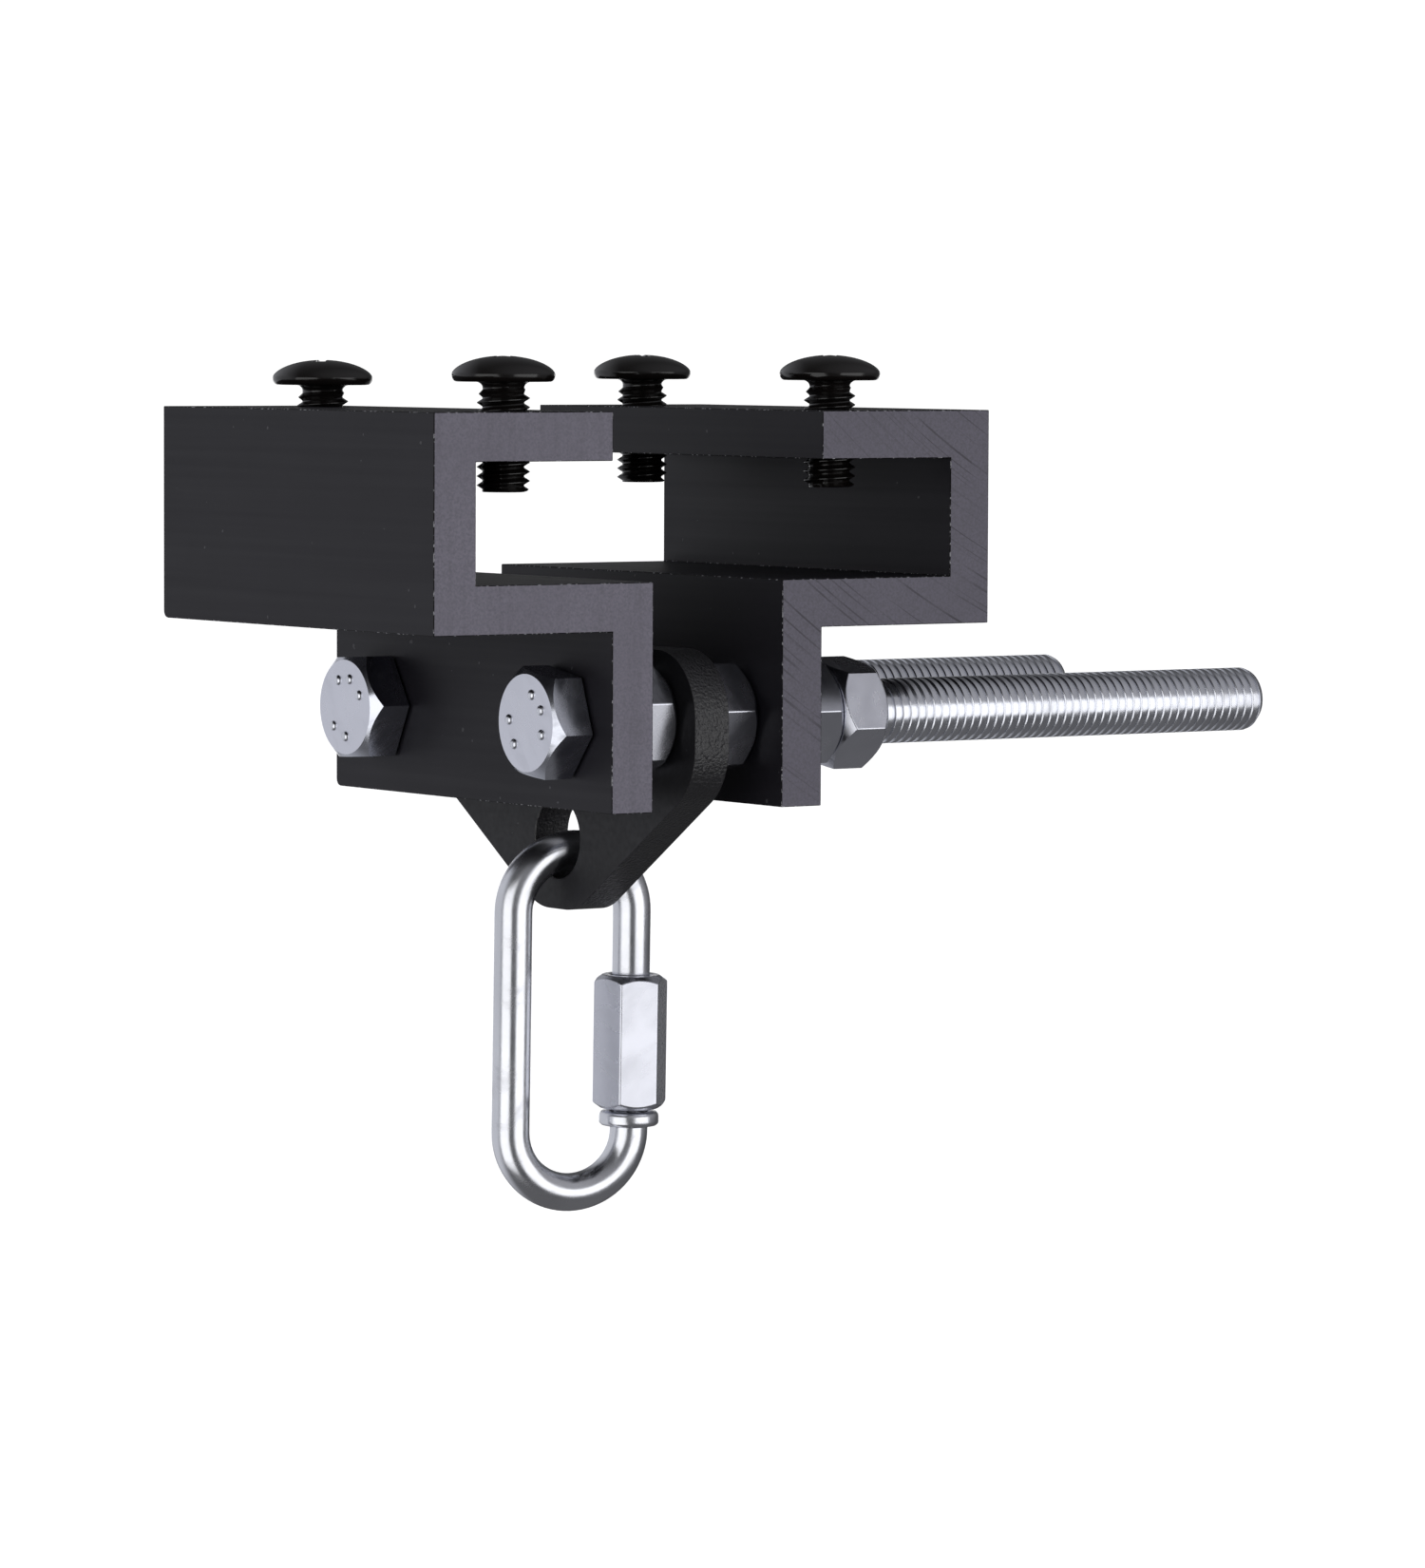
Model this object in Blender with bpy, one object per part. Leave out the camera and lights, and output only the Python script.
"""Adjustable beam clamp with a bolted hanger plate and a quick link.

Two Z-section jaws face each other on a pair of long hex bolts and take the lower
flange of an I-beam between them.  Four truss-head screws pinch the flange.  A hanger
plate rides on the same bolts between the jaws, and a quick link hangs in its hole.

Frame: origin at the middle of the beam flange's seat, X along the bolts,
Y along the beam, Z up.  Metres.
"""
import math

import bmesh
import bpy
from mathutils import Vector

MM = 0.001

# Jaws: a Z section with a lip, a web, a shelf and a leg, all of one wall
WALL = 8.5 * MM
LIP = 36.5 * MM
SHELF = LIP + WALL
CHANNEL = 21.0 * MM
LEG_DROP = 31.5 * MM
JAW_LENGTH = 90.5 * MM
JAW_EDGE = 0.5 * MM

# Gap kept between faces that touch on the real clamp, and around a shaft in its bore
TOUCH = 0.25 * MM
PLAY = 0.3 * MM

# Small broken edge of the turned pieces
BREAK = 0.5 * MM

# Bolts and nuts, metric M12
BOLT_R = 5.85 * MM
BOLT_CLEAR_R = 6.5 * MM
BOLT_LENGTH = 153.5 * MM
BOLT_PITCH_Y = 59.6 * MM
BOLT_Z = -24.7 * MM
BOLT_TIP = 1.5 * MM
HEX_FLATS = 18.0 * MM
HEAD_HEIGHT = 7.5 * MM
NUT_HEIGHT = 9.6 * MM
NUT_BORE_R = BOLT_R + PLAY

# Chamfer of every hex piece: its slope, and its round face's radius over the flats
CHAMFER_SLOPE = math.tan(math.radians(30))
FACE_SHARE = 0.475

# Hanger plate
PLATE_THICK = 7.2 * MM
PLATE_WIDTH = 87.0 * MM
PLATE_FOOT = 12.4 * MM
PLATE_TOP_Z = -12.4 * MM
PLATE_SHOULDER_Z = -35.8 * MM
PLATE_FOOT_Z = -60.3 * MM
PLATE_CORNER_R = 12.0 * MM
LINK_HOLE_R = 7.2 * MM
LINK_HOLE_Z = -47.6 * MM

# Clamp screws
SCREW_R = 4.6 * MM
SCREW_CLEAR_R = 4.9 * MM
SCREW_X_FROM_WEB = 24.0 * MM
SCREW_SHANK = 19.05 * MM
SCREW_HEAD_R = 9.0 * MM
SCREW_HEAD_H = 4.5 * MM
SCREW_HEAD_BREAK = 0.7 * MM
SCREW_RIM = 1.8 * MM
SCREW_TIP = 1.0 * MM
SCREW_NECK = 0.6 * MM
# Height of each screw's head over its lip; every screw is set on its own
SCREW_STANDS = {
    "left": {"front": 5.0 * MM, "rear": 3.9 * MM},
    "right": {"front": 5.2 * MM, "rear": 4.9 * MM},
}
RECESS_SPAN = 7.6 * MM
RECESS_WIDTH = 1.6 * MM
RECESS_DEPTH = 2.6 * MM
RECESS_SLOTS = {"slot_a": (RECESS_SPAN, RECESS_WIDTH), "slot_b": (RECESS_WIDTH, RECESS_SPAN)}

# Quick link, measured from the hole's centre; its plane is turned about Z
WIRE_R = 3.45 * MM
LINK_BEND_R = 11.3 * MM
LINK_TOP_DROP = 13.4 * MM
LINK_BOTTOM_DROP = 52.95 * MM
LINK_YAW = math.radians(-14)
LINK_LEAN = math.radians(1.15)
COLLAR_R = 5.45 * MM
COLLAR_H = 3.1 * MM
COLLAR_DROP = 52.6 * MM
COLLAR_ROUND = 0.4 * MM
COLLAR_STEP = 0.05 * MM
STUB_H = 2.6 * MM
LINK_GAP = 8.0 * MM
THREAD_R = 3.2 * MM
SLEEVE_FLATS = 12.0 * MM
SLEEVE_LENGTH = 24.3 * MM
SLEEVE_BORE_R = WIRE_R + PLAY
SLEEVE_TURN = math.radians(-4.3)

# Places worked out from the sizes above
STACK = 2 * NUT_HEIGHT + PLATE_THICK + 4 * TOUCH
LEG_INNER_X = STACK / 2
LEG_OUTER_X = LEG_INNER_X + WALL
WEB_OUTER_X = LEG_OUTER_X + LIP
LIP_TOP_Z = CHANNEL + WALL
LEG_FOOT_Z = -WALL - LEG_DROP
BOLT_HEAD_X = -LEG_OUTER_X - TOUCH
BOLT_SIDES = {"front": -BOLT_PITCH_Y / 2, "rear": BOLT_PITCH_Y / 2}
JAW_SIDES = {"left": -1, "right": 1}

# Turn of each hex piece about its bolt: corners away from the horizontal, in degrees
HEX_TURN = {
    "head": {"front": 10, "rear": -3},
    "inner_nut": {"front": 42, "rear": 8},
    "plate_nut": {"front": -8, "rear": 20},
    "clamp_nut": {"front": -5, "rear": 16},
    "lock_nut": {"front": 14, "rear": 24},
}

BLACK_JAW = ("jaw_black", (0.028, 0.028, 0.032, 1), 0.45, 0.35)
BLACK_PLATE = ("plate_black", (0.022, 0.022, 0.024, 1), 0.6, 0.1)
BLACK_SCREW = ("screw_black", (0.012, 0.012, 0.012, 1), 0.3, 0.6)
ZINC = ("zinc", (0.72, 0.74, 0.78, 1), 0.25, 1.0)


def clear_scene():
    for old in list(bpy.data.objects):
        bpy.data.objects.remove(old, do_unlink=True)


def material(spec):
    name, colour, roughness, metallic = spec
    made = bpy.data.materials.new(name)
    made.use_nodes = True
    shader = made.node_tree.nodes["Principled BSDF"]
    shader.inputs["Base Color"].default_value = colour
    shader.inputs["Roughness"].default_value = roughness
    shader.inputs["Metallic"].default_value = metallic
    return made


def add_object(name, bm, spec, place=(0, 0, 0)):
    """Turn a bmesh into a named object with its own material."""
    bmesh.ops.recalc_face_normals(bm, faces=bm.faces)
    mesh = bpy.data.meshes.new(name)
    bm.to_mesh(mesh)
    bm.free()
    mesh.materials.append(material(spec))
    mesh.shade_smooth()
    mesh.set_sharp_from_angle(angle=math.radians(30))
    made = bpy.data.objects.new(name, mesh)
    made.location = place
    bpy.context.scene.collection.objects.link(made)
    return made


def attach(child, parent):
    """Parent a piece to another that has no rotation, without moving it."""
    child.location = Vector(child.location) - Vector(parent.location)
    child.parent = parent


def prism(outline, axis, start, length):
    """Extrude a flat outline of 3-D points along an axis; returns the bmesh."""
    bm = bmesh.new()
    shift = Vector(axis) * start
    face = bm.faces.new([bm.verts.new(Vector(point) + shift) for point in outline])
    grown = bmesh.ops.extrude_face_region(bm, geom=[face])
    moved = [item for item in grown["geom"] if isinstance(item, bmesh.types.BMVert)]
    bmesh.ops.translate(bm, verts=moved, vec=Vector(axis) * length)
    return bm


def ring_solid(rings, bore=False):
    """Skin a list of equal rings; the ends are capped, or joined through a bore."""
    bm = bmesh.new()
    loops = [[bm.verts.new(point) for point in ring] for ring in rings]
    count = len(loops[0])
    pairs = list(zip(loops, loops[1:]))
    if bore:
        pairs.append((loops[-1], loops[0]))
    else:
        bm.faces.new(loops[0])
        bm.faces.new(loops[-1])
    for lower, upper in pairs:
        for i in range(count):
            j = (i + 1) % count
            bm.faces.new((lower[i], lower[j], upper[j], upper[i]))
    return bm


def circle(radius, height, axis, count):
    """Points of a circle about the Z or the X axis."""
    points = []
    for i in range(count):
        angle = 2 * math.pi * i / count
        side, rise = radius * math.cos(angle), radius * math.sin(angle)
        points.append((height, side, rise) if axis == "X" else (side, rise, height))
    return points


def hexagon_rings(flats, height, axis, count, slope_side):
    """Two rings of a hex side: the round face and the curved edge below its chamfer.

    slope_side is +1 where the body lies above the face and -1 where it lies below.
    """
    face_r = flats * FACE_SHARE
    edge = []
    for i in range(count):
        angle = 2 * math.pi * i / count
        turn = (angle + math.pi / 6) % (math.pi / 3) - math.pi / 6
        radius = flats / 2 / math.cos(math.pi / 6 - abs(turn))
        drop = (radius - face_r) * CHAMFER_SLOPE * slope_side
        side, rise = radius * math.cos(angle), radius * math.sin(angle)
        level = height + drop
        edge.append((level, side, rise) if axis == "X" else (side, rise, level))
    return circle(face_r, height, axis, count), edge


def corner_arc(before, corner, after, radius, steps=6):
    """Points of a fillet at one corner of an outline in the YZ plane."""
    before, corner, after = Vector(before), Vector(corner), Vector(after)
    first = (before - corner).normalized()
    second = (after - corner).normalized()
    half = first.angle(second) / 2
    centre = corner + (first + second).normalized() * (radius / math.sin(half))
    start = (corner + first * (radius / math.tan(half)) - centre).normalized()
    end = (corner + second * (radius / math.tan(half)) - centre).normalized()
    return [centre + start.slerp(end, i / steps) * radius for i in range(steps + 1)]


def cut_away(body, name, bm, place):
    """Cut a shape out of a body; the cutter itself stays out of the model."""
    tool = add_object(name, bm, BLACK_JAW, place)
    tool.hide_render = True
    tool.display_type = "WIRE"
    cut = body.modifiers.new(name, "BOOLEAN")
    cut.operation = "DIFFERENCE"
    cut.object = tool
    cut.solver = "EXACT"


def round_hole(body, name, radius, place, axis, count=32):
    """Cut a round through hole, centred in the wall it passes."""
    low = circle(radius, -WALL, axis, count)
    high = circle(radius, WALL, axis, count)
    cut_away(body, name, ring_solid([low, high]), place)


def make_jaw(side):
    """One Z-section jaw with two bolt holes in its leg and two screw holes in its lip."""
    sign = JAW_SIDES[side]
    section = [
        (WEB_OUTER_X, LIP_TOP_Z),
        (WEB_OUTER_X - LIP, LIP_TOP_Z),
        (WEB_OUTER_X - LIP, CHANNEL),
        (WEB_OUTER_X - WALL, CHANNEL),
        (WEB_OUTER_X - WALL, 0),
        (WEB_OUTER_X - SHELF, 0),
        (WEB_OUTER_X - SHELF, LEG_FOOT_Z),
        (WEB_OUTER_X - LIP, LEG_FOOT_Z),
        (WEB_OUTER_X - LIP, -WALL),
        (WEB_OUTER_X, -WALL),
    ]
    outline = [(sign * x, 0, z) for x, z in section]
    body = prism(outline, (0, 1, 0), -JAW_LENGTH / 2, JAW_LENGTH)
    jaw = add_object(f"{side}_jaw", body, BLACK_JAW)
    soften = jaw.modifiers.new("edges", "BEVEL")
    soften.width = JAW_EDGE
    soften.segments = 1
    soften.limit_method = "ANGLE"
    leg_x = sign * (LEG_INNER_X + WALL / 2)
    lip_x = sign * (WEB_OUTER_X - SCREW_X_FROM_WEB)
    lip_z = CHANNEL + WALL / 2
    for end, y in BOLT_SIDES.items():
        round_hole(jaw, f"{side}_{end}_bolt_cut", BOLT_CLEAR_R, (leg_x, y, BOLT_Z), "X")
        round_hole(jaw, f"{side}_{end}_screw_cut", SCREW_CLEAR_R, (lip_x, y, lip_z), "Z")
    return jaw


def make_bolt(end):
    """A hex bolt lying along X, its origin where the head meets the left leg."""
    count = 36
    face, edge = hexagon_rings(HEX_FLATS, -HEAD_HEIGHT, "X", count, 1)
    flat = [(0, y, z) for _, y, z in edge]
    shank = [
        circle(BOLT_R, 0, "X", count),
        circle(BOLT_R, BOLT_LENGTH - BOLT_TIP, "X", count),
        circle(BOLT_R - BOLT_TIP, BOLT_LENGTH, "X", count),
    ]
    place = (BOLT_HEAD_X, BOLT_SIDES[end], BOLT_Z)
    bolt = add_object(f"{end}_bolt", ring_solid([face, edge, flat] + shank), ZINC, place)
    bolt.rotation_euler.x = math.radians(HEX_TURN["head"][end])
    return bolt


def make_nut(kind, end, low_x):
    """A hex nut on one bolt; low_x is its face on the bolt-head side."""
    count = 24
    low_face, low_edge = hexagon_rings(HEX_FLATS, 0, "X", count, 1)
    high_face, high_edge = hexagon_rings(HEX_FLATS, NUT_HEIGHT, "X", count, -1)
    bore = [circle(NUT_BORE_R, NUT_HEIGHT, "X", count), circle(NUT_BORE_R, 0, "X", count)]
    body = ring_solid([low_face, low_edge, high_edge, high_face] + bore, bore=True)
    nut = add_object(f"{end}_{kind}", body, ZINC, (low_x, BOLT_SIDES[end], BOLT_Z))
    nut.rotation_euler.x = math.radians(HEX_TURN[kind][end])
    return nut


def make_plate():
    """The hanger plate: a rounded pentagon with two bolt holes and the link hole."""
    half, foot = PLATE_WIDTH / 2, PLATE_FOOT / 2
    corners = [
        (half, PLATE_TOP_Z),
        (-half, PLATE_TOP_Z),
        (-half, PLATE_SHOULDER_Z),
        (-foot, PLATE_FOOT_Z),
        (foot, PLATE_FOOT_Z),
        (half, PLATE_SHOULDER_Z),
    ]
    corners = [Vector((0, y, z)) for y, z in corners]
    outline = []
    for i, corner in enumerate(corners):
        outline += corner_arc(corners[i - 1], corner, corners[(i + 1) % 6], PLATE_CORNER_R)
    body = prism(outline, (1, 0, 0), -PLATE_THICK / 2, PLATE_THICK)
    plate = add_object("hanger_plate", body, BLACK_PLATE)
    for end, y in BOLT_SIDES.items():
        round_hole(plate, f"plate_{end}_cut", BOLT_CLEAR_R, (0, y, BOLT_Z), "X")
    round_hole(plate, "plate_link_cut", LINK_HOLE_R, (0, 0, LINK_HOLE_Z), "X", count=40)
    return plate


def screw_profile():
    """Radius and height of a truss-head screw, tip first, head's underside at zero."""
    dome_rise = SCREW_HEAD_H - SCREW_RIM
    dome_steps = 5
    profile = [
        (SCREW_R - SCREW_TIP, -SCREW_SHANK),
        (SCREW_R, -SCREW_SHANK + SCREW_TIP),
        (SCREW_R, -SCREW_NECK),
        (SCREW_R + SCREW_NECK, 0),
        (SCREW_HEAD_R - SCREW_HEAD_BREAK, 0),
        (SCREW_HEAD_R, SCREW_HEAD_BREAK),
        (SCREW_HEAD_R, SCREW_RIM),
    ]
    for i in range(1, dome_steps):
        share = 1 - i / dome_steps
        profile.append((SCREW_HEAD_R * share, SCREW_RIM + dome_rise * (1 - share ** 3)))
    return profile


def make_screw(side, end):
    """A truss-head clamp screw with a cross recess, its origin under the head."""
    count = 24
    rings = [circle(radius, height, "Z", count) for radius, height in screw_profile()]
    x = JAW_SIDES[side] * (WEB_OUTER_X - SCREW_X_FROM_WEB)
    place = (x, BOLT_SIDES[end], LIP_TOP_Z + SCREW_STANDS[side][end])
    screw = add_object(f"{side}_{end}_screw", ring_solid(rings), BLACK_SCREW, place)
    for name, (span_x, span_y) in RECESS_SLOTS.items():
        half_x, half_y = span_x / 2, span_y / 2
        outline = [(-half_x, -half_y, 0), (half_x, -half_y, 0), (half_x, half_y, 0), (-half_x, half_y, 0)]
        slot = prism(outline, (0, 0, 1), SCREW_HEAD_H - RECESS_DEPTH, 2 * RECESS_DEPTH)
        cut_away(screw, f"{screw.name}_{name}", slot, place)
    return screw


def link_path():
    """Centre line of the link's wire with its radius: stub, collar, loop, threaded end."""
    leg = LINK_BEND_R
    collar_top = -COLLAR_DROP + COLLAR_H
    path = [
        (leg, collar_top + STUB_H, THREAD_R - BREAK),
        (leg, collar_top + STUB_H - BREAK, THREAD_R),
        (leg, collar_top, THREAD_R),
        (leg, collar_top - COLLAR_STEP, COLLAR_R - COLLAR_ROUND),
        (leg, collar_top - BREAK, COLLAR_R),
        (leg, -COLLAR_DROP + BREAK, COLLAR_R),
        (leg, -COLLAR_DROP, COLLAR_R - COLLAR_ROUND),
        (leg, -COLLAR_DROP - COLLAR_STEP, WIRE_R),
    ]
    bends = 14
    for i in range(bends + 1):
        angle = math.pi * i / bends
        path.append((leg * math.cos(angle), -LINK_BOTTOM_DROP - leg * math.sin(angle), WIRE_R))
    for i in range(bends + 1):
        angle = math.pi * i / bends
        path.append((-leg * math.cos(angle), -LINK_TOP_DROP + leg * math.sin(angle), WIRE_R))
    gap_top = collar_top + STUB_H + LINK_GAP
    path += [
        (leg, gap_top + BREAK, WIRE_R),
        (leg, gap_top, WIRE_R - BREAK),
    ]
    return path


def make_link():
    """The quick link's bent wire, its origin at the centre of the plate's hole."""
    curve = bpy.data.curves.new("quick_link", "CURVE")
    curve.dimensions = "3D"
    curve.bevel_depth = 1.0
    curve.bevel_resolution = 4
    curve.use_fill_caps = True
    path = link_path()
    spline = curve.splines.new("POLY")
    spline.points.add(len(path) - 1)
    for point, (x, z, radius) in zip(spline.points, path):
        point.co = (x, 0, z, 1)
        point.radius = radius
    curve.materials.append(material(ZINC))
    link = bpy.data.objects.new("quick_link", curve)
    link.location = (0, 0, LINK_HOLE_Z)
    link.rotation_mode = "ZYX"
    link.rotation_euler = (LINK_LEAN, 0, LINK_YAW)
    bpy.context.scene.collection.objects.link(link)
    return link


def make_sleeve(link):
    """The long hex sleeve that closes the link's gap, standing on the collar."""
    count = 24
    low_face, low_edge = hexagon_rings(SLEEVE_FLATS, 0, "Z", count, 1)
    high_face, high_edge = hexagon_rings(SLEEVE_FLATS, SLEEVE_LENGTH, "Z", count, -1)
    bore = [circle(SLEEVE_BORE_R, SLEEVE_LENGTH, "Z", count), circle(SLEEVE_BORE_R, 0, "Z", count)]
    body = ring_solid([low_face, low_edge, high_edge, high_face] + bore, bore=True)
    low = -COLLAR_DROP + COLLAR_H + TOUCH
    sleeve = add_object("link_sleeve", body, ZINC, (LINK_BEND_R, 0, low))
    sleeve.rotation_euler.z = SLEEVE_TURN
    sleeve.parent = link


def main():
    clear_scene()
    jaws = {side: make_jaw(side) for side in JAW_SIDES}
    plate = make_plate()
    for end in BOLT_SIDES:
        make_bolt(end)
        inner_x = -LEG_INNER_X + TOUCH
        attach(make_nut("inner_nut", end, inner_x), plate)
        attach(make_nut("plate_nut", end, PLATE_THICK / 2 + TOUCH), plate)
        clamp_x = LEG_OUTER_X + TOUCH
        attach(make_nut("clamp_nut", end, clamp_x), jaws["right"])
        attach(make_nut("lock_nut", end, clamp_x + NUT_HEIGHT + TOUCH), jaws["right"])
        for side in JAW_SIDES:
            attach(make_screw(side, end), jaws[side])
    link = make_link()
    make_sleeve(link)
    attach(link, plate)


main()
